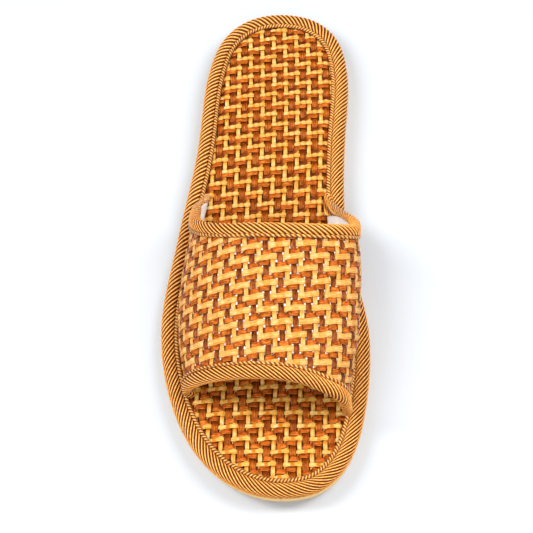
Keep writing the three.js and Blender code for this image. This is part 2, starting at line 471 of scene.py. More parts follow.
# Places along a strip, from its first crossing to its last
def fine(numbers):
    return np.arange(numbers[0] * SAMPLES, numbers[-1] * SAMPLES + 1) / SAMPLES


# How far a strip strays at each crossing
def strays(chance, size, numbers):
    values = chance.normal(0, size, len(numbers) + 2)
    return lambda k: values[(k - numbers[0]).astype(int)]


# All strips of one weave. lay(c, r, push) gives points, normals and which of them lie inside the outline.
def weave(strips, columns, rows, wave, lay):
    made = {name: Gather() for name in strips}
    chance = np.random.default_rng(WEAVE_SEED)
    for r in rows:
        kind = "brown_weft" if r % 2 else "yellow_weft"
        shape = strips[kind]
        c = fine(columns)
        strayed = strays(chance, shape["stray"], columns)
        front = ramp(*FRONT_ROWS, r)
        low = lerp(*shape["low"], front)

        def height(k):
            place = (k + r) % TWILL
            ends = np.where(place == 0, low, np.where(place == HIGH_END, shape["high"], 0))
            return np.where(weft_over(k, r), wave + ends, -wave) + strayed(k) * STRAY_LIFT

        def knob(k):
            return np.where((k + r) % TWILL == HIGH_END, shape["knob"], 0)

        bead = shape["bead"] * np.cos(2 * math.pi * c)
        lift = eased(height, c) + bead * BEAD_LIFT
        half_width = shape["width"] / 2 * (1 + bead + eased(knob, c))
        step = lerp(*shape["step"], front)
        sway = stepped((c + r) % TWILL, step, shape["rise"]) * lerp(*shape["push"], front)
        laid = lay(c, np.full_like(c, r), sway + eased(strayed, c))
        add_runs(made[kind], laid, lift, half_width, shape, r, c, wave)
    for k in columns:
        kind = "brown_warp" if k % 2 else "yellow_warp"
        shape = strips[kind]
        r = fine(rows)
        strayed = strays(chance, shape["stray"], rows)

        def height(j):
            return np.where(weft_over(k, j), -wave, wave)

        aside = np.full_like(r, k) + eased(strayed, r) / CROSSING_MARK
        half_width = np.full_like(r, shape["width"] / 2)
        laid = lay(aside, r, np.zeros_like(r))
        add_runs(made[kind], laid, eased(height, r), half_width, shape, k + WARP_NUMBER, r, wave)
    return made


def add_runs(gather, laid, lift, half_width, shape, number, t, wave):
    points, normals, inside = laid
    centres = points + normals * lift[:, None]
    for run in runs(inside, SAMPLES):
        along = (t[run] - t[0]) * CROSSING_MARK + number * STRIP_MARK
        thick = np.full(len(t[run]), shape["thick"] / 2)
        section = (half_width[run], thick, shape["square"])
        add_strip(gather, centres[run], normals[run], *section, along, lift[run] / wave)


# Hand weaving drifts a little from a true lattice: shares of 1, p, q, pq, q2, p2 and a cube
def drift(shares, p, q, cube):
    terms = (1, p, q, p * q, q * q, p * p, cube)
    return sum(share * term for share, term in zip(shares, terms))


# The footbed's weave lies on its pad, and dips under the tape round it
FOOTBED_COLUMNS = np.arange(-16, 23)
FOOTBED_ROWS = np.arange(-30, 58)
FOOTBED_COLUMN = 3.02
FOOTBED_COLUMN_ZERO = -10.7
FOOTBED_ROW = 3.32
FOOTBED_HEEL_ROW = 3.15
FOOTBED_HEEL_SPREAD = 0.011
FOOTBED_ROW_ZERO = 52
FOOTBED_SKEW = 0.008
FOOTBED_WAVE = 0.52
FOOTBED_WEAVE_DEPTH = 0.45
FOOTBED_WEAVE_END = 6.2
TAPE_DIP = 0.9
TAPE_DIP_INSET = (11.5, 8.5)
SLOPE_STEP = 0.5
FOOTBED_DRIFT_SPAN = (30, 100)
FOOTBED_DRIFT_X = (0.03, 0.46, 0.53, -0.06, -1.09, -0.4, -1.31)
FOOTBED_DRIFT_Y = (0.08, 1.44, -0.03, 0.63, 1.61, -0.6, 0.2)


def lay_footbed(c, r, push):
    heel = FOOTBED_HEEL_ROW * r + FOOTBED_HEEL_SPREAD * r * r
    row_y = FOOTBED_ROW_ZERO - np.where(r > 0, FOOTBED_ROW * r, heel)
    x = FOOTBED_COLUMN_ZERO + FOOTBED_COLUMN * c + FOOTBED_SKEW * (row_y - FOOTBED_ROW_ZERO)
    p = x / FOOTBED_DRIFT_SPAN[0]
    q = row_y / FOOTBED_DRIFT_SPAN[1]
    x = x + drift(FOOTBED_DRIFT_X, p, q, q ** 3)
    y = row_y + push + drift(FOOTBED_DRIFT_Y, p, q, q ** 3)
    inset = edge_distance(x, y)
    dip = TAPE_DIP * smooth(ramp(*TAPE_DIP_INSET, inset))
    z = outsole_top(y) + FOOTBED_TOP - FOOTBED_WEAVE_DEPTH - dip
    points = np.stack([x, y, z], -1)
    slope = change(outsole_top, y, SLOPE_STEP) / (2 * SLOPE_STEP)
    normals = unit(np.stack([np.zeros_like(x), -slope, np.ones_like(x)], -1))
    return points, normals, inset > FOOTBED_WEAVE_END


# The vamp's weave: columns by the length over the arch, rows bowed towards the heel at both sides
VAMP_COLUMNS = np.arange(-30, 30)
VAMP_ROWS = np.arange(-20, 26)
VAMP_COLUMN = 3.211
VAMP_COLUMN_ZERO = 0.063
VAMP_ROW = 3.09
VAMP_ROW_ZERO = -25.99
VAMP_MIDDLE_Y = -50
VAMP_SKEW = 0.022
LATERAL_BOW = (1.56, 50)
MEDIAL_BOW = (5.42, 40)
VAMP_WAVE = 0.33
VAMP_WEAVE_DEPTH = 0.6
VAMP_STEP_ACROSS = 0.004
VAMP_STEP_Y = 0.4
EDGE_ROOM = 1.0
VAMP_DRIFT_SPAN = 30
VAMP_DRIFT_ARC = (0.49, 0.53, 0.05, 0.4, -0.29, -0.59, -0.62)
VAMP_DRIFT_Y = (0.48, 1.0, -0.42, 0.45, -0.6, -0.65, -0.62)
VAMP_DRIFT_ENDS = (-1.35, 1.2)


def bowed(arc, rise, reach):
    return rise * (arc / reach) ** 2


def lay_vamp(c, r, push):
    row_y = VAMP_ROW_ZERO - VAMP_ROW * r
    arc = VAMP_COLUMN * (c + VAMP_COLUMN_ZERO) + VAMP_SKEW * (row_y - VAMP_MIDDLE_Y)
    bow = np.where(arc < 0, bowed(arc, *LATERAL_BOW), bowed(arc, *MEDIAL_BOW))
    y = row_y + bow + push
    p = np.clip(arc / VAMP_DRIFT_SPAN, *VAMP_DRIFT_ENDS)
    q = (row_y + bow - VAMP_MIDDLE_Y) / VAMP_DRIFT_SPAN
    arc = arc + drift(VAMP_DRIFT_ARC, p, q, p ** 3)
    y = y + drift(VAMP_DRIFT_Y, p, q, p ** 3)
    across = across_at(arc, y)
    skin = vamp_skin(across, y)
    middle = np.clip(across, -1 + VAMP_STEP_ACROSS, 1 - VAMP_STEP_ACROSS)
    over = change(lambda a: vamp_skin(a, y), middle, VAMP_STEP_ACROSS)
    back = change(lambda b: vamp_skin(middle, b), y, VAMP_STEP_Y)
    normals = unit(np.cross(over, back))
    points = skin - normals * VAMP_WEAVE_DEPTH
    inside = (np.abs(share_of(arc, y)) <= 1) & (y < throat_y(across) - EDGE_ROOM)
    inside &= y > toe_edge_y(across) + EDGE_ROOM
    return points, normals, inside


# Corner cutting, which rounds a closed outline of few points
CORNER_CUT = 0.25


def rounded(outline):
    outline = np.asarray(outline, float)
    after = np.roll(outline, -1, axis=0)
    near = lerp(outline, after, CORNER_CUT)
    far = lerp(outline, after, 1 - CORNER_CUT)
    return np.stack([near, far], 1).reshape(-1, outline.shape[1])


# Tape: cords laid side by side at a slant. A cord fills part of each pitch, and the rest is a sunk gap,
# painted dark as shade.
CORD_SHARE = 0.66
CORD_HEIGHT = 0.62
CORD_SINK = 0.42
CORD_ROUNDNESS = 0.7
CORD_STEPS = np.array([0, 0.07, 0.19, 0.33, 0.47, 0.59, 0.66, 0.83])


def cord_height(phase):
    share = np.clip((phase % 1) / CORD_SHARE, 0, 1)
    return CORD_HEIGHT * np.sin(math.pi * share) ** CORD_ROUNDNESS - CORD_SINK


# Normals of a closed outline in its own plane, pointing out of it
def outline_normals(outline):
    way = np.roll(outline, -1, axis=0) - np.roll(outline, 1, axis=0)
    normal = unit(np.stack([way[:, 1], -way[:, 0]], -1))
    x, y = outline.T
    area = np.sum(x * np.roll(y, -1) - np.roll(x, -1) * y)
    return normal * np.sign(area)


def outline_lengths(outline):
    step = np.linalg.norm(np.diff(outline, axis=0), axis=1)
    return np.concatenate([[0], np.cumsum(step)])


# How far a tape's cords lean along it: more and more over its face, and back again where it is hidden
def lean(outline):
    reach = outline_lengths(outline)
    face = reach[np.argmax(outline[:, 0])]
    whole = reach[-1] + np.linalg.norm(outline[0] - outline[-1])
    return np.where(reach <= face, reach, face * (whole - reach) / (whole - face))


# Twisted edge of a tape: a cord round a line, its strands standing out one after the other
ROPE_STEPS = 6
ROPE_POINTS = 8
ROPE_CAP = np.array([[0, 1, 2, 3], [0, 3, 4, 7], [4, 5, 6, 7]])
ROPE_WAIST = 0.78
ROPE_ROUNDNESS = 0.7
ROPE_LAG = 0.02
ROPE_REACH = 0.25
ROPE_WEAR = 0.15


def rope(gather, line, up, radius, closed, twist, pitch):
    length = outline_lengths(line)
    turns = int(round(length[-1] / pitch))
    steps = np.arange(turns * ROPE_STEPS + (0 if closed else 1)) / ROPE_STEPS
    at = steps / turns * length[-1]

    def spaced(values):
        return np.stack([np.interp(at, length, axis) for axis in values.T], -1)

    centre = spaced(line)
    high = unit(spaced(up))
    thick = np.interp(at, length, radius)
    if closed:
        way = unit(np.roll(centre, -1, axis=0) - np.roll(centre, 1, axis=0))
    else:
        way = unit(np.gradient(centre, axis=0))
    side = unit(np.cross(way, high))
    high = np.cross(side, way)
    share = np.arange(ROPE_POINTS) / ROPE_POINTS
    angle = 2 * math.pi * share
    phase = steps[:, None] + twist * share[None, :]
    strand = np.abs(np.sin(math.pi * (phase - ROPE_LAG))) ** ROPE_ROUNDNESS
    swell = thick[:, None] * (ROPE_WAIST + (1 - ROPE_WAIST) * strand)
    points = centre[:, None, :] + side[:, None, :] * (swell * np.cos(angle))[..., None]
    points = points + high[:, None, :] * (swell * np.sin(angle))[..., None]
    quads, i, j = grid_quads(len(steps), ROPE_POINTS, closed, True)
    twisted = i / ROPE_STEPS + twist * j / ROPE_POINTS
    marks = np.stack([twisted, i * ROPE_REACH, np.full(i.shape, ROPE_WEAR)], -1).reshape(-1, 3)
    if not closed:
        last = (len(steps) - 1) * ROPE_POINTS
        caps = np.concatenate([ROPE_CAP, ROPE_CAP[:, ::-1] + last])
        quads = np.concatenate([quads, caps])
        marks = np.concatenate([marks, np.zeros((caps.size, 3))])
    gather.add(points, quads, marks)


# Tape round the footbed: inset from the plan, height above the outsole, how strongly its cords stand out,
# and how deep in the stitched groove it is, where painted shade darkens it
SOLE_ROLL = [
    (2.6, 0.3, 0, 0), (0.9, 0.3, 0.7, 0), (0.1, 1.4, 1, 0), (0, 3.6, 1, 0), (0.2, 5.6, 1, 0),
    (1.2, 7.05, 1, 0), (3.4, 7.8, 1, 0), (5.4, 7.45, 1, 0), (6.4, 6.8, 0.7, 0.2), (6.9, 5.7, 0.2, 1),
    (8.6, 5.6, 0, 1), (8.8, 5.1, 0, 1), (2.6, 5.2, 0, 0),
]
SOLE_LIP = {"inset": 7.7, "height": 6.4, "radius": 1.05, "twist": -2, "pitch": 1.6}
SOLE_CORD_INSET = 4
SOLE_STEPS = 4001

# By the turn round the plan in degrees: the cords' pitch, and their run along it for each mm inwards
SOLE_CORDS = {
    "turn": [-180, -145, -110, -77, -40, 0, 60, 110, 150, 180],
    "pitch": [2.35, 2.4, 2.5, 2.7, 2.6, 2.45, 2.45, 2.35, 2.25, 2.35],
    "slant": [0.9, 0.7, 0.85, 1, 1.4, 1.42, 1.42, 1.2, 1, 0.9],
}


def sole_tape():
    table = rounded(SOLE_ROLL)
    outline = table[:, :2]
    rib = table[:, 2]
    normal = outline_normals(outline)
    reach = outline_lengths(outline)
    turns = np.linspace(-math.pi, math.pi, SOLE_STEPS)
    line = rim(turns, SOLE_CORD_INSET)
    length = outline_lengths(line)
    pitch = column(SOLE_CORDS, "pitch", np.degrees(turns))
    count = np.concatenate([[0], np.cumsum(np.diff(length) / pitch[1:])])
    cords = int(round(count[-1]))
    count = count * cords / count[-1]
    phase = (np.arange(cords)[:, None] + CORD_STEPS).ravel()
    start = np.interp(phase, count, turns)
    slant = column(SOLE_CORDS, "slant", np.degrees(start))
    u = np.interp(phase, count, length)[:, None] - slant[:, None] * lean(outline)[None, :]
    turn = np.interp(u % length[-1], length, turns)
    stand = cord_height(phase)[:, None] * rib
    inset = outline[:, 0] + normal[:, 0] * stand
    height = outline[:, 1] + normal[:, 1] * stand
    flat = rim(turn, inset)
    z = outsole_top(flat[..., 1]) + height
    points = np.concatenate([flat, z[..., None]], -1)
    quads, i, j = grid_quads(len(phase), len(table), True, True)
    whole_phase = np.concatenate([phase, [cords]])
    whole_reach = np.concatenate([reach, [reach[-1] + 1]])
    # The groove column darkens the tape there with painted shade
    groove = table[:, 3][j % len(table)]
    marks = np.stack([whole_phase[i], whole_reach[j], -groove], -1)
    gather = Gather()
    gather.add(points, quads, marks.reshape(-1, 3))
    flat = rim(turns, SOLE_LIP["inset"])
    line = np.column_stack([flat, outsole_top(flat[:, 1]) + SOLE_LIP["height"]])
    up = np.tile([0.0, 0.0, 1.0], (len(line), 1))
    radius = np.full(len(line), SOLE_LIP["radius"])
    rope(gather, line, up, radius, True, SOLE_LIP["twist"], SOLE_LIP["pitch"])
    return gather


# Tape folded over an edge of the vamp: distance in from the edge, out from mid wall, and cord strength
FOLD_ROLL = [
    (2.8, -1.25, 0), (3.0, -1.9, 0.5), (1.4, -2.2, 0.8), (-0.5, -2.2, 1), (-1.8, -1.1, 1), (-1.8, 1.2, 1),
    (-0.4, 2.65, 1), (2.0, 3.0, 1), (4.9, 2.55, 1), (5.8, 1.9, 0.4), (6.2, 1.2, 0), (7.4, 1.15, 0),
    (7.4, 0.9, 0), (3, 0.9, 0), (0, 0.8, 0), (0, -0.8, 0), (2, -1.15, 0),
]
FOLD_LIP = {"along": 7.0, "out": 1.7, "radius": 0.85, "twist": 2, "share": 0.87}
FOLD_START = 9
FOLD_LEG = 3
FOLD_TAPER = 20
FOLD_END_DROP = 4
FOLD_END_OUT = (1.8, 0.9)
FOLD_END_HOLD = (1, 7)
FOLD_END_CLOSE = 1
FOLD_END_MIDDLE = 2
FOLD_EDGE_OUT = 1.5
FOLD_STEPS = 2001
LIP_STEPS = 400
PUCKER_PITCH = 3.4

# The two folded tapes: the vamp's edge, the cords' slant and pitch, the tape's width, how narrow and thin
# its ends are, and how far its inner leg is tucked in at the two ends and puckered there
THROAT_FOLD = {
    "edge": 0, "slant": 1, "pitch": 2.75, "width": 0.74, "end_width": 0.75, "end_thick": 0.6,
    "tucks": (-0.6, 4), "pucker": 0.7,
}
TOE_FOLD = {
    "edge": 1, "slant": -1, "pitch": 2.45, "width": 0.76, "end_width": 0.75, "end_thick": 0.7,
    "tucks": (0, 0), "pucker": 0,
}


# Points by the way along the vamp's edge, in from it and out from mid wall, all in millimetres
def on_fold(edge_share, length, steps, u, along, out):
    inwards = 1 if edge_share == 0 else -1
    across = np.interp(u, length, steps)
    run = throat_y(across) - toe_edge_y(across)
    middle = np.clip(across, -1 + NUDGE, 1 - NUDGE)
    edge_way = unit(change(lambda a: on_vamp(a, edge_share, 0), middle, NUDGE))
    foot_way = unit(change(lambda s: on_vamp(middle, s, 0), edge_share, NUDGE))
    square = np.linalg.norm(np.cross(edge_way, foot_way), axis=-1)
    points = on_vamp(across, edge_share + inwards * along / (square * run), WALL / 2 - out)
    points[..., 2] -= np.abs(u - np.clip(u, 0, length[-1]))
    return points


# One value before the middle of a tape's way and another after it
def by_end(pair, u, whole):
    return np.where(u < whole / 2, *pair)


def fold_tape(fold, wear):
    table = rounded(FOLD_ROLL)
    outline = table[:, :2]
    rib = table[:, 2]
    normal = outline_normals(outline)
    reach = outline_lengths(outline)
    reach = reach - reach[FOLD_START]
    pitch = fold["pitch"]
    steps = np.linspace(-1, 1, FOLD_STEPS)
    line = on_vamp(steps, fold["edge"], -FOLD_EDGE_OUT)
    length = outline_lengths(line)
    whole = length[-1]
    leaning = lean(outline)
    shift = fold["slant"] * (leaning - leaning[FOLD_START])
    first = math.floor((-FOLD_END_DROP - shift.max()) / pitch)
    last = math.ceil((whole + FOLD_END_DROP - shift.min()) / pitch)
    phase = (np.arange(first, last)[:, None] + CORD_STEPS).ravel()
    u = np.clip(phase[:, None] * pitch + shift[None, :], -FOLD_END_DROP, whole + FOLD_END_DROP)
    stand = cord_height(phase)[:, None] * rib
    left = np.minimum(u, whole - u)
    full = smooth(ramp(0, FOLD_TAPER, left))
    behind = outline[:, 1] < 0
    inner = np.where(behind, np.clip(outline[:, 0] / FOLD_LEG, 0, 1), 0)
    tuck = by_end(fold["tucks"], u, whole) * (1 - full)
    narrowed = fold["width"] * lerp(fold["end_width"], 1, full)
    along = outline[:, 0] * narrowed + tuck * inner + normal[:, 0] * stand
    folds = fold["pucker"] * np.sin(2 * math.pi * u / PUCKER_PITCH) * np.clip(tuck, 0, 1) * inner
    held = smooth(ramp(*FOLD_END_HOLD, left))
    end_out = by_end(FOLD_END_OUT, u, whole)
    aside = end_out * (1 - full) * np.where(behind, held, 1)
    out = outline[:, 1] * lerp(fold["end_thick"], 1, full) + aside + normal[:, 1] * stand + folds
    closing = smooth(ramp(0, FOLD_END_CLOSE, left + FOLD_END_DROP))
    along = lerp(FOLD_END_MIDDLE * fold["width"] * fold["end_width"], along, closing)
    out = lerp(end_out, out, closing)
    points = on_fold(fold["edge"], length, steps, u, along, out)
    quads, i, j = grid_quads(len(phase), len(table), False, True)
    shut_corners = (closing == 0).ravel()[quads].sum(axis=1)
    kept = shut_corners < 3
    whole_reach = np.concatenate([reach, [reach[-1] + 1]])
    worn = wear(u / whole).ravel()[quads]
    marks = np.stack([phase[i], whole_reach[j], worn], -1)
    way_round = -1 if fold["edge"] == 0 else 1
    gather = Gather()
    gather.add(points, quads[kept][:, ::way_round], marks[kept][:, ::way_round].reshape(-1, 3))
    add_lip(gather, fold, length, steps)
    return gather


# The corded lip of a folded tape
def add_lip(gather, fold, length, steps):
    whole = length[-1]
    way = np.linspace(-FOLD_END_DROP, whole + FOLD_END_DROP, LIP_STEPS)
    full = smooth(ramp(0, FOLD_TAPER, np.minimum(way, whole - way)))
    thinned = lerp(fold["end_thick"], 1, full)
    along = FOLD_LIP["along"] * fold["width"] * lerp(fold["end_width"], 1, full)
    out = FOLD_LIP["out"] * thinned + by_end(FOLD_END_OUT, way, whole) * (1 - full)
    lip = on_fold(fold["edge"], length, steps, way, along, out)
    up = on_fold(fold["edge"], length, steps, way, along, out + 1) - lip
    radius = FOLD_LIP["radius"] * thinned
    rope(gather, lip, up, radius, False, FOLD_LIP["twist"], FOLD_LIP["share"] * fold["pitch"])


# A blunt end of a slab, a ring of an even number of points, is closed by a fan of quads from its tip
def close_end(gather, ring, flip):
    tip = ring[np.abs(ring[:, 1]).argmax()]
    tip = np.array([[ring[:, 0].mean(), tip[1], tip[2]]])
    points = np.concatenate([ring, tip])
    count = len(ring)
    start = np.arange(0, count, 2)
    quads = np.stack([np.full_like(start, count), start, start + 1, (start + 2) % count], -1)
    quads = quads[:, ::flip]
    gather.add(points, quads, points[quads].reshape(-1, 3))


# Slabs of the sole, from toe to heel: each section runs over one side, across, and back round the other
# Their edge is a list of insets, each with a height that goes by the place along the foot
SLAB_TIP = 0.003


def slab(edge, under, stations, under_steps, over_steps):
    turn = np.linspace(SLAB_TIP, math.pi - SLAB_TIP, stations)

    def side(way):
        lines = []
        for inset, height in edge:
            flat = rim(way * turn, inset)
            lines.append(np.column_stack([flat, height(flat[:, 1])]))
        return np.stack(lines, 1)

    lateral = side(-1)
    medial = side(1)
    cross = np.linspace(0, 1, over_steps + 1)[1:-1]
    top = lerp(lateral[:, -1:, :], medial[:, -1:, :], cross[None, :, None])
    top[..., 2] = edge[-1][1](top[..., 1])
    cross = np.linspace(0, 1, under_steps + 1)[1:-1]
    bottom = lerp(medial[:, :1, :], lateral[:, :1, :], cross[None, :, None])
    bottom[..., 2] = under(bottom[..., 0], bottom[..., 1])
    points = np.concatenate([lateral, top, medial[:, ::-1], bottom], 1)
    quads = grid_quads(stations, points.shape[1], False, True)[0][:, ::-1]
    gather = Gather()
    gather.add(points, quads, points.reshape(-1, 3)[quads].reshape(-1, 3))
    for end, flip in ((points[0], -1), (points[-1], 1)):
        close_end(gather, end, flip)
    return gather


# The outsole's edge by inset and share of its thickness, and the waves cut under it
OUTSOLE_EDGE = [
    (2.8, 0), (1.8, 0.03), (1.1, 0.1), (0.8, 0.22), (0.7, 0.35),
    (0.7, 0.6), (0.8, 0.8), (1.1, 0.94), (1.6, 1), (3, 1),
]
OUTSOLE_GRID = (460, 40, 4)
TREAD_PITCH = 5.2
TREAD_DEPTH = 0.7
TREAD_SWING = 2.2
TREAD_WAVELENGTH = 17
TREAD_WALL = (0.62, 0.9)
TREAD_EDGE = (5.5, 7)


def outsole():
    def level(share):
        return lambda y: lerp(underside(y), outsole_top(y), share)

    def under(x, y):
        wave = y + TREAD_SWING * np.sin(x * 2 * math.pi / TREAD_WAVELENGTH)
        groove = np.clip(np.abs(((wave / TREAD_PITCH) % 1) - 0.5) * 2, 0, 1)
        inside = smooth(ramp(*TREAD_EDGE, edge_distance(x, y)))
        return underside(y) + TREAD_DEPTH * (smooth(ramp(*TREAD_WALL, groove)) * inside)

    edge = [(inset, level(share)) for inset, share in OUTSOLE_EDGE]
    return slab(edge, under, *OUTSOLE_GRID)


# The footbed's pad: its edge by inset and height above the outsole
PAD_EDGE = [(3.6, 0.3), (2.9, 0.8), (2.9, 3.6), (3.4, 4.1)]
PAD_GRID = (120, 3, 13)


def footbed_pad():
    def level(height):
        return lambda y: outsole_top(y) + height

    def under(x, y):
        return edge[0][1](y)

    edge = [(inset, level(height)) for inset, height in PAD_EDGE]
    return slab(edge, under, *PAD_GRID)


# White lining cloth inside the vamp: a thin shell from edge to edge
LINING_OUTER = 0.85
LINING_INNER = 1.35
LINING_TRIM = 0.015
LINING_GRID = (121, 61)
LINING_MARK = (80, 70)


def lining():
    across = np.linspace(-1, 1, LINING_GRID[0])
    share = np.linspace(LINING_TRIM, 1 - LINING_TRIM, LINING_GRID[1])
    a, s = np.meshgrid(across, share, indexing="ij")

    def both(outer, inner):
        return np.concatenate([outer, inner[:, ::-1]], 1)

    points = both(on_vamp(a, s, LINING_OUTER), on_vamp(a, s, LINING_INNER))
    width = points.shape[1]
    quads = grid_quads(len(across), width, False, True)[0]
    place = np.arange(len(share) - 1)
    end = np.stack([place, place + 1, width - 2 - place, width - 1 - place], -1)
    quads = np.concatenate([quads, end, end[:, ::-1] + (len(across) - 1) * width])[:, ::-1]
    backs = both(np.ones_like(a), np.zeros_like(a))
    mark = np.stack([both(a, a) * LINING_MARK[0], both(s, s) * LINING_MARK[1], backs], -1)
    gather = Gather()
    gather.add(points, quads, mark.reshape(-1, 3)[quads].reshape(-1, 3))
    return gather


# Materials, with colours given from 0 to 255
def colour(red, green, blue):
    def linear(value):
        value = value / 255
        return value / 12.92 if value <= 0.04045 else ((value + 0.055) / 1.055) ** 2.4

    return (linear(red), linear(green), linear(blue), 1)


WHITE = colour(255, 255, 255)
WARM = colour(255, 226, 176)


# A material in the making, whose nodes are made and linked by short calls
class Paint:
    def __init__(self, name, **fixed):
        self.material = bpy.data.materials.new(name)
        self.material.use_nodes = True
        self.tree = self.material.node_tree
        self.shader = self.tree.nodes["Principled BSDF"]
        for socket, value in fixed.items():
            self.shader.inputs[socket.replace("_", " ")].default_value = value

    def put(self, socket, value):
        if isinstance(value, bpy.types.NodeSocket):
            self.tree.links.new(value, socket)
        else:
            socket.default_value = value

    def node(self, kind, *values):
        node = self.tree.nodes.new("ShaderNode" + kind)
        for socket, value in zip(node.inputs, values):
            self.put(socket, value)
        return node

    def calc(self, operation, *values):
        node = self.node("Math", *values)
        node.operation = operation
        return node.outputs[0]

    def mark(self):
        node = self.node("Attribute")
        node.attribute_name = "mark"
        return node.outputs["Vector"]

    def axes(self, vector):
        return self.node("SeparateXYZ", vector).outputs

    def vector(self, *values):
        return self.node("CombineXYZ", *values).outputs[0]

    def range(self, *values):
        return self.node("MapRange", *values).outputs[0]

    def noise(self, vector, scale=1.0, detail=2.0, roughness=0.5):
        node = self.node("TexNoise", vector)
        node.inputs["Scale"].default_value = scale
        node.inputs["Detail"].default_value = detail
        node.inputs["Roughness"].default_value = roughness
        return node.outputs[0]

    def random(self, vector):
        node = self.node("TexWhiteNoise", vector)
        node.noise_dimensions = "2D"
        return node.outputs[0]

    def stops(self, value, *stops):
        node = self.node("ValToRGB", value)
        elements = node.color_ramp.elements
        while len(elements) < len(stops):
            elements.new(1)
        for element, (place, shade) in zip(elements, stops):
            element.position = place
            element.color = shade
        return node.outputs[0]

    def mix(self, share, a, b, kind="MIX"):
        node = self.node("Mix")
        node.data_type = "RGBA"
        node.blend_type = kind
        self.put(node.inputs[0], share)
        self.put(node.inputs[6], a)
        self.put(node.inputs[7], b)
        return node.outputs[2]

    def bump(self, height, distance, strength):
        node = self.node("Bump")
        node.inputs["Strength"].default_value = strength
        node.inputs["Distance"].default_value = distance
        self.put(node.inputs["Height"], height)
        self.put(self.shader.inputs["Normal"], node.outputs[0])

    def finish(self, shade, rough):
        self.put(self.shader.inputs["Base Color"], shade)
        self.put(self.shader.inputs["Roughness"], rough)
        return self.material


# Straw strip: fibres along it, a tone for each crossing, and painted shade at its edges, in its grooves
# and on its low stretches
# tints colour it by its place between two dips, 0.25, 0.5 and 0.75 being the crossings of a float
# A weft and a warp differ in where their dips lie and in how many ridges they have
WEFT = {"turn": 1, "ridges": 2}
WARP = {"turn": 3, "ridges": 3}
FIBRE_ALONG = 0.3
FIBRE_ACROSS = 2.8
PATCH_ALONG = 0.45
CLOUDS = (0.32, 0.68)
FIBRE_SHARE = 0.5
PATCH_SHARE = 0.3
TONE_SHARE = 0.2
TONE_PLACES = (0.12, 0.34, 0.55, 0.85)
HIGHLIGHT_SIDE_SPAN = (0.2, 0.8)
EDGE_SHADE_SPAN = (0.66, 0.94)
GROOVE_SHADE_SPAN = (-0.4, -1.0)
GROOVE_SHADE_DEPTH = 0.42
LOW_SHADE_SPAN = (-0.9, 0.5)
LOW_SHADE = 0.5
FRONT = (0.0, -0.07)
STRAW_BUMP = 0.00016
GROOVE_BUMP = 0.35
FIBRE_BUMP = 0.5
GLOSS_SPAN = (0.1, -0.06)


def straw(name, tones, tints, first, strip, gloss, outline, side_highlight=0.0, front_tints=None):
    deep = tones[0]
    pale = tones[-1]
    paint = Paint(name, Specular_IOR_Level=0.12, Specular_Tint=WARM)
    along, across, level = paint.axes(paint.mark())
    number = paint.calc("FLOOR", paint.calc("DIVIDE", along, STRIP_MARK))
    start = paint.calc("MULTIPLY_ADD", number, -STRIP_MARK, along)
    crossing = paint.calc("MULTIPLY_ADD", start, 1 / CROSSING_MARK, float(first))
    tone = paint.random(paint.vector(number, paint.calc("ROUND", crossing)))
    fibre_along = paint.calc("MULTIPLY", along, FIBRE_ALONG)
    fibre_across = paint.calc("MULTIPLY", across, FIBRE_ACROSS)
    fibre = paint.noise(paint.vector(fibre_along, fibre_across, number), detail=3.0, roughness=0.65)
    fibre = paint.range(fibre, *CLOUDS)
    patch = paint.noise(paint.vector(paint.calc("MULTIPLY", along, PATCH_ALONG), across, number))
    patch = paint.range(patch, *CLOUDS)
    blend = paint.calc("MULTIPLY_ADD", fibre, FIBRE_SHARE, paint.calc("MULTIPLY", patch, PATCH_SHARE))
    blend = paint.calc("MULTIPLY_ADD", tone, TONE_SHARE, blend)
    shade = paint.stops(blend, *zip(TONE_PLACES, tones))
    # Painted highlight along one side of the strip, the toe side of a weft, in its palest tone
    shade = paint.mix(paint.range(across, *HIGHLIGHT_SIDE_SPAN, 0.0, side_highlight), shade, pale)
    # Painted shade darkens the strip towards its two sides, as strongly as outline says
    edge = paint.range(paint.calc("ABSOLUTE", across), *EDGE_SHADE_SPAN, 0.0, outline)
    shade = paint.mix(edge, shade, deep)
    groove = paint.calc("COSINE", paint.calc("MULTIPLY", across, strip["ridges"] * math.pi))
    # Painted shade along the grooves between the strip's ridges
    shade = paint.mix(paint.range(groove, *GROOVE_SHADE_SPAN, 0.0, GROOVE_SHADE_DEPTH), shade, deep)
    # Painted shade on stretches that lie low, under the strips that cross them
    shade = paint.mix(paint.range(level, *LOW_SHADE_SPAN, LOW_SHADE, 0.0), shade, deep)
    turned = paint.calc("ADD", paint.calc("ADD", crossing, number), float(strip["turn"]))
    place = paint.calc("DIVIDE", paint.calc("FLOORED_MODULO", turned, TWILL), TWILL)
    tint = paint.stops(place, *tints)
    if front_tints:
        foot = paint.axes(paint.node("TexCoord").outputs["Object"])[1]
        tint = paint.mix(paint.range(foot, *FRONT), tint, paint.stops(place, *front_tints))
    shade = paint.mix(1.0, shade, tint, "MULTIPLY")
    height = paint.calc("MULTIPLY_ADD", groove, GROOVE_BUMP, paint.calc("MULTIPLY", fibre, FIBRE_BUMP))
    paint.bump(height, STRAW_BUMP, strength=0.7)
    rough = paint.range(fibre, 0.0, 1.0, gloss + GLOSS_SPAN[0], gloss + GLOSS_SPAN[1])
    return paint.finish(shade, rough)


# Tints of a float: its left, middle and right stretch, with painted shade where it narrows between them
def float_tints(left, middle, right, notch_shade):
    return (
        (0.1, notch_shade), (0.15, left), (0.34, left), (0.385, notch_shade), (0.43, middle), (0.57, middle),
        (0.615, notch_shade), (0.66, right), (0.85, right), (0.9, notch_shade),
    )


# Tints of a float whose two ends are pale caps
def cap_tints(left, middle, right, notch_shade):
    return (
        (0.1, notch_shade), (0.14, left), (0.4, left), (0.45, middle), (0.55, middle),
        (0.6, right), (0.87, right), (0.91, notch_shade),
    )


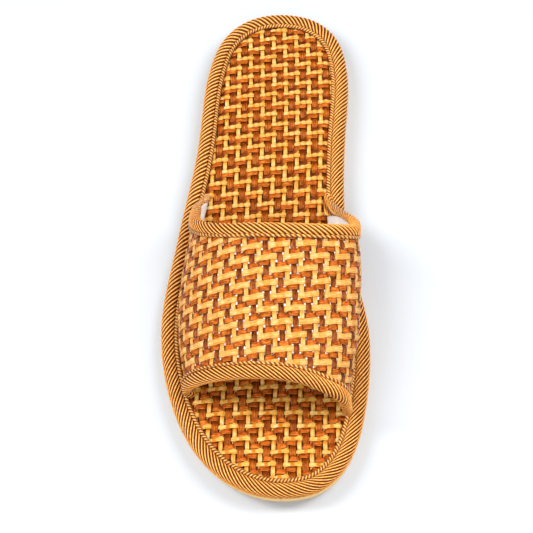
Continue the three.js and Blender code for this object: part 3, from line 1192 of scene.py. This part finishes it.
# Tints of a float that steps sideways: its left and right stretch, and painted shade at the bend between
# them
def step_tints(left, right, notch_shade, step):
    return (
        (0.12, notch_shade), (0.18, left), (step - 0.06, left), (step - 0.01, notch_shade), (step + 0.05, right),
        (0.82, right), (0.88, notch_shade),
    )


# Tints of a warp: painted shade at the heel-side end of its visible stretch, fading to none at the toe
# side
def warp_tints(start, finish):
    return (0.4, start), (0.6, finish)


# Striped tape: worn is 0 to 1 where it is rubbed matte, and below 0 in its stitched groove, which is
# darkened with painted shade
GAP_PAINTED_SHADE = colour(70, 24, 4)
GROOVE_PAINTED_SHADE = colour(58, 24, 8)
THREAD_ALONG = 3.0
THREAD_ACROSS = 1.1
MOTTLE_SHARE = 0.7
TAPE_BUMP = 0.00012


def tape_paint():
    paint = Paint("striped_tape", Specular_IOR_Level=0.4, Specular_Tint=WARM)
    phase, reach, worn = paint.axes(paint.mark())
    place = paint.calc("FRACT", phase)
    thread_along = paint.calc("MULTIPLY", phase, THREAD_ALONG)
    thread_across = paint.calc("MULTIPLY", reach, THREAD_ACROSS)
    thread = paint.noise(paint.vector(thread_along, thread_across), detail=3.0, roughness=0.6)
    # The stops paint each cord round: darker at its sides, a painted highlight at its crest, and painted
    # shade in the gap after it
    shade = paint.stops(
        place,
        (0.0, colour(100, 40, 8)), (0.07, colour(222, 118, 30)), (0.2, colour(255, 180, 78)),
        (0.34, colour(255, 218, 132)), (0.48, colour(250, 164, 64)), (0.58, colour(184, 86, 20)),
        (0.64, GAP_PAINTED_SHADE), (0.96, GAP_PAINTED_SHADE),
    )
    mottle = paint.stops(thread, (0.34, colour(176, 146, 116)), (0.62, WHITE))
    shade = paint.mix(MOTTLE_SHARE, shade, mottle, "MULTIPLY")
    tan = paint.stops(thread, (0.36, colour(152, 102, 62)), (0.64, colour(208, 156, 106)))
    shade = paint.mix(paint.range(worn, 0.0, 1.0), shade, tan)
    shade = paint.mix(paint.range(worn, 0.0, -1.0), shade, GROOVE_PAINTED_SHADE)
    paint.bump(thread, TAPE_BUMP, strength=0.6)
    return paint.finish(shade, paint.range(thread, 0.3, 0.7, 0.5, 0.3))


# Lining cloth: a fine plain weave, clean inside the vamp, with patches of painted shade on its outer face
# where it shows between straws
CLOTH_THREAD = 0.6
CLOTH_BUMP = 0.00008


def cloth_paint():
    paint = Paint("white_lining")
    x, y, backs = paint.axes(paint.mark())
    weave_x = paint.calc("SINE", paint.calc("MULTIPLY", x, 2 * math.pi / CLOTH_THREAD))
    weave_y = paint.calc("SINE", paint.calc("MULTIPLY", y, 2 * math.pi / CLOTH_THREAD))
    height = paint.calc("MULTIPLY", weave_x, weave_y)
    cloud = paint.noise(paint.vector(x, y), scale=0.25, detail=3.0)
    shade = paint.stops(cloud, (0.3, colour(222, 212, 204)), (0.7, colour(240, 232, 226)))
    # Dark patches on the outer face are painted shade in the holes between the straws
    patch = paint.noise(paint.vector(x, y), scale=0.3, detail=1.0)
    hole_shade = paint.stops(patch, (0.36, colour(96, 52, 22)), (0.56, colour(252, 246, 236)))
    shade = paint.mix(backs, shade, hole_shade)
    paint.bump(height, CLOTH_BUMP, strength=0.5)
    return paint.finish(shade, rough=0.85)


# Dark backing that shows between the footbed's straws, its dark colour being painted shade in the holes
BACKING_BUMP = 0.0003


def shaded_backing_paint():
    paint = Paint("footbed_backing_shade")
    place = paint.mark()
    cloud = paint.noise(place, scale=0.8, detail=4.0)
    shade = paint.stops(cloud, (0.3, colour(36, 14, 5)), (0.7, colour(74, 34, 14)))
    paint.bump(cloud, BACKING_BUMP, strength=0.6)
    return paint.finish(shade, rough=0.8)


# Foam rubber with fine pores
FOAM_BUMP = 0.00025


def foam_paint():
    paint = Paint("foam_rubber", Specular_IOR_Level=0.35)
    place = paint.mark()
    pores = paint.noise(place, scale=2.6, detail=3.0, roughness=0.65)
    cloud = paint.noise(place, scale=0.06, detail=3.0)
    shade = paint.stops(
        pores,
        (0.3, colour(224, 176, 104)), (0.5, colour(243, 203, 136)), (0.75, colour(250, 216, 158)),
    )
    shade = paint.mix(paint.range(cloud, 0.4, 0.7, 0.0, 0.25), shade, colour(230, 184, 116))
    paint.bump(pores, FOAM_BUMP, strength=0.5)
    return paint.finish(shade, paint.range(pores, 0.3, 0.7, 0.75, 0.55))


# Straw tones from deep to pale, and tints
YELLOW = (colour(184, 116, 30), colour(213, 160, 72), colour(228, 183, 104), colour(243, 213, 156))
VAMP_YELLOW = (colour(190, 130, 52), colour(213, 162, 82), colour(226, 180, 110), colour(241, 210, 162))
# Tints of painted shade where a float narrows between its stretches
YELLOW_NOTCH_SHADE = colour(226, 184, 120)
BROWN = (colour(78, 29, 5), colour(150, 65, 13), colour(196, 92, 20), colour(231, 141, 58))
GRAIN = (colour(84, 34, 6), colour(147, 67, 14), colour(176, 88, 21), colour(208, 126, 50))
DARK = (colour(58, 22, 8), colour(112, 50, 18), colour(164, 82, 34), colour(206, 126, 74))
# More tints of painted shade where a float narrows between its stretches
VAMP_NOTCH_SHADE = colour(240, 220, 190)
BROWN_NOTCH_SHADE = colour(158, 128, 110)
# Painted shade at the heel-side end of the warps, where they come out from under a weft
YELLOW_WARP_SHADE = colour(244, 214, 160)
SHADED = colour(200, 180, 165)
YELLOW_GLOSS = 0.42
BROWN_GLOSS = 0.38
BROWN_SIDE_HIGHLIGHT = 0.4
# How strongly painted shade darkens the sides of the strips
FOOTBED_EDGE_SHADE = 0.2
VAMP_EDGE_SHADE = 0.45


# One weave's four materials, where outline is how strongly painted shade darkens the strips' sides
def straws(name, columns, rows, yellow, brown, dark, outline, floats, front=(None, None)):
    weft_start = columns[0]
    warp_start = rows[0]
    yellow_warp = warp_tints(YELLOW_WARP_SHADE, WHITE)
    brown_warp = warp_tints(SHADED, WHITE)
    made = {
        "yellow_weft": (yellow, floats[0], weft_start, WEFT, YELLOW_GLOSS, outline, 0.0, front[0]),
        "brown_weft": (brown, floats[1], weft_start, WEFT, BROWN_GLOSS, outline, BROWN_SIDE_HIGHLIGHT, front[1]),
        "yellow_warp": (yellow, yellow_warp, warp_start, WARP, YELLOW_GLOSS, outline),
        "brown_warp": (dark, brown_warp, warp_start, WARP, BROWN_GLOSS, outline),
    }
    return {kind: straw(name + "_" + kind, *values) for kind, values in made.items()}


# At the heel the brown wefts' left stretch is tinted darker, as painted shade where it lies low
HEEL_FLOATS = (
    float_tints(colour(250, 248, 244), colour(248, 238, 222), colour(249, 238, 212), YELLOW_NOTCH_SHADE),
    step_tints(colour(156, 138, 130), colour(240, 238, 230), BROWN_NOTCH_SHADE, 0.4),
)
FRONT_FLOATS = (
    cap_tints(WHITE, colour(224, 174, 100), colour(250, 238, 204), YELLOW_NOTCH_SHADE),
    step_tints(WHITE, colour(232, 224, 216), BROWN_NOTCH_SHADE, 0.5),
)
VAMP_FLOATS = (
    float_tints(colour(250, 242, 232), colour(244, 224, 192), colour(250, 242, 232), VAMP_NOTCH_SHADE),
    step_tints(WHITE, colour(240, 242, 242), BROWN_NOTCH_SHADE, 0.5),
)
FOOTBED_TONES = (YELLOW, BROWN, GRAIN)
VAMP_TONES = (VAMP_YELLOW, BROWN, DARK)
FOOTBED_STRAWS = straws(
    "footbed", FOOTBED_COLUMNS, FOOTBED_ROWS, *FOOTBED_TONES, FOOTBED_EDGE_SHADE, HEEL_FLOATS, FRONT_FLOATS
)
VAMP_STRAWS = straws("vamp", VAMP_COLUMNS, VAMP_ROWS, *VAMP_TONES, VAMP_EDGE_SHADE, VAMP_FLOATS)
TAPE = tape_paint()


# The pieces
def build_weave(name, made, paints, replaced):
    for kind, gather in made.items():
        piece(name + "_" + kind, gather, paints[kind], replaced)


piece("outsole_foam", outsole(), foam_paint(), ["outsole"])
pad = piece("footbed_pad", footbed_pad(), shaded_backing_paint(), ["insole"])
build_weave(
    "footbed",
    weave(FOOTBED_STRIPS, FOOTBED_COLUMNS, FOOTBED_ROWS, FOOTBED_WAVE, lay_footbed),
    FOOTBED_STRAWS,
    ["insole"],
)
build_weave(
    "vamp",
    weave(VAMP_STRIPS, VAMP_COLUMNS, VAMP_ROWS, VAMP_WAVE, lay_vamp),
    VAMP_STRAWS,
    ["upper"],
)
cloth = piece("vamp_lining", lining(), cloth_paint(), ["upper"])


# How worn a folded tape is, by the share of the way along it
def throat_wear(share):
    lateral = 0.85 * ramp(0.2, 0.06, share)
    medial = 0.6 * ramp(0.82, 0.88, share) * ramp(0.97, 0.91, share)
    return np.maximum(lateral, medial)


def toe_wear(share):
    return 0.25 * ramp(0.85, 1, share)


ring = piece("sole_tape", sole_tape(), TAPE, ["sole_binding"])
throat_fold = fold_tape(THROAT_FOLD, throat_wear)
throat = piece("throat_tape", throat_fold, TAPE, ["throat_binding"])
toe = piece("toe_tape", fold_tape(TOE_FOLD, toe_wear), TAPE, ["toe_binding"])


# Floor, light and camera
FLOOR_HALF = 3.0
FLOOR_COLOUR = colour(198, 202, 207)
SKY_COLOUR = (0.96, 0.98, 1, 1)
SKY_STRENGTH = 0.46
LIGHTS = {
    "left": ((-0.5, 0.0, 0.8), (0, 0, 0.02), (0.25, 0.6), 6.6),
    "right": ((0.5, 0.05, 0.8), (0, 0, 0.02), (0.25, 0.6), 6.6),
    "front": ((0.05, -0.6, 0.8), (0, -0.08, 0.02), (0.6, 0.4), 3.6),
}


def floor():
    corners = np.array([[-1, -1, 0], [1, -1, 0], [1, 1, 0], [-1, 1, 0]]) * FLOOR_HALF
    mesh = bpy.data.meshes.new("floor")
    mesh.from_pydata([tuple(c) for c in corners], [], [(0, 1, 2, 3)])
    thing = bpy.data.objects.new("floor", mesh)
    bpy.context.scene.collection.objects.link(thing)
    paint = Paint("floor", Specular_IOR_Level=0.1)
    mesh.materials.append(paint.finish(FLOOR_COLOUR, rough=0.9))
    thing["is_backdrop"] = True


def area_light(name, place, target, size, power):
    light = bpy.data.lights.new(name, "AREA")
    light.shape = "RECTANGLE"
    light.size = size[0]
    light.size_y = size[1]
    light.energy = power
    thing = bpy.data.objects.new(name, light)
    thing.location = place
    thing.rotation_euler = (Vector(target) - Vector(place)).to_track_quat("-Z", "Y").to_euler()
    bpy.context.scene.collection.objects.link(thing)


def world():
    sky = bpy.data.worlds.new("studio")
    sky.use_nodes = True
    background = sky.node_tree.nodes["Background"]
    background.inputs["Color"].default_value = SKY_COLOUR
    background.inputs["Strength"].default_value = SKY_STRENGTH
    bpy.context.scene.world = sky


# The camera stands where the photograph was taken from, and is turned to bring the slipper to the middle
CAMERA_PLACE = (53.5, -322.3, 639.9)
CAMERA_ELEVATION = 64
CAMERA_TURN = 4.4
CAMERA_FOCAL_PIXELS = 1414.4
IMAGE_PIXELS = 533
SENSOR = 36


def camera():
    data = bpy.data.cameras.new("camera")
    data.sensor_width = SENSOR
    data.lens = CAMERA_FOCAL_PIXELS / IMAGE_PIXELS * SENSOR
    thing = bpy.data.objects.new("camera", data)
    place = Matrix.Translation((Vector(CAMERA_PLACE) + Vector(SHIFT)) * MM)
    tilt = Matrix.Rotation(math.radians(90 - CAMERA_ELEVATION), 4, "X")
    turn = Matrix.Rotation(math.radians(CAMERA_TURN), 4, "Y")
    thing.matrix_world = place @ tilt @ turn
    bpy.context.scene.collection.objects.link(thing)
    bpy.context.scene.camera = thing


floor()
world()
for name, light in LIGHTS.items():
    area_light(name, *light)
camera()
bpy.context.scene.view_settings.view_transform = "Standard"

boxes = {"cad": cad_box, "visual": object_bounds()}
{name: [list(corner) for corner in box] for name, box in boxes.items()}
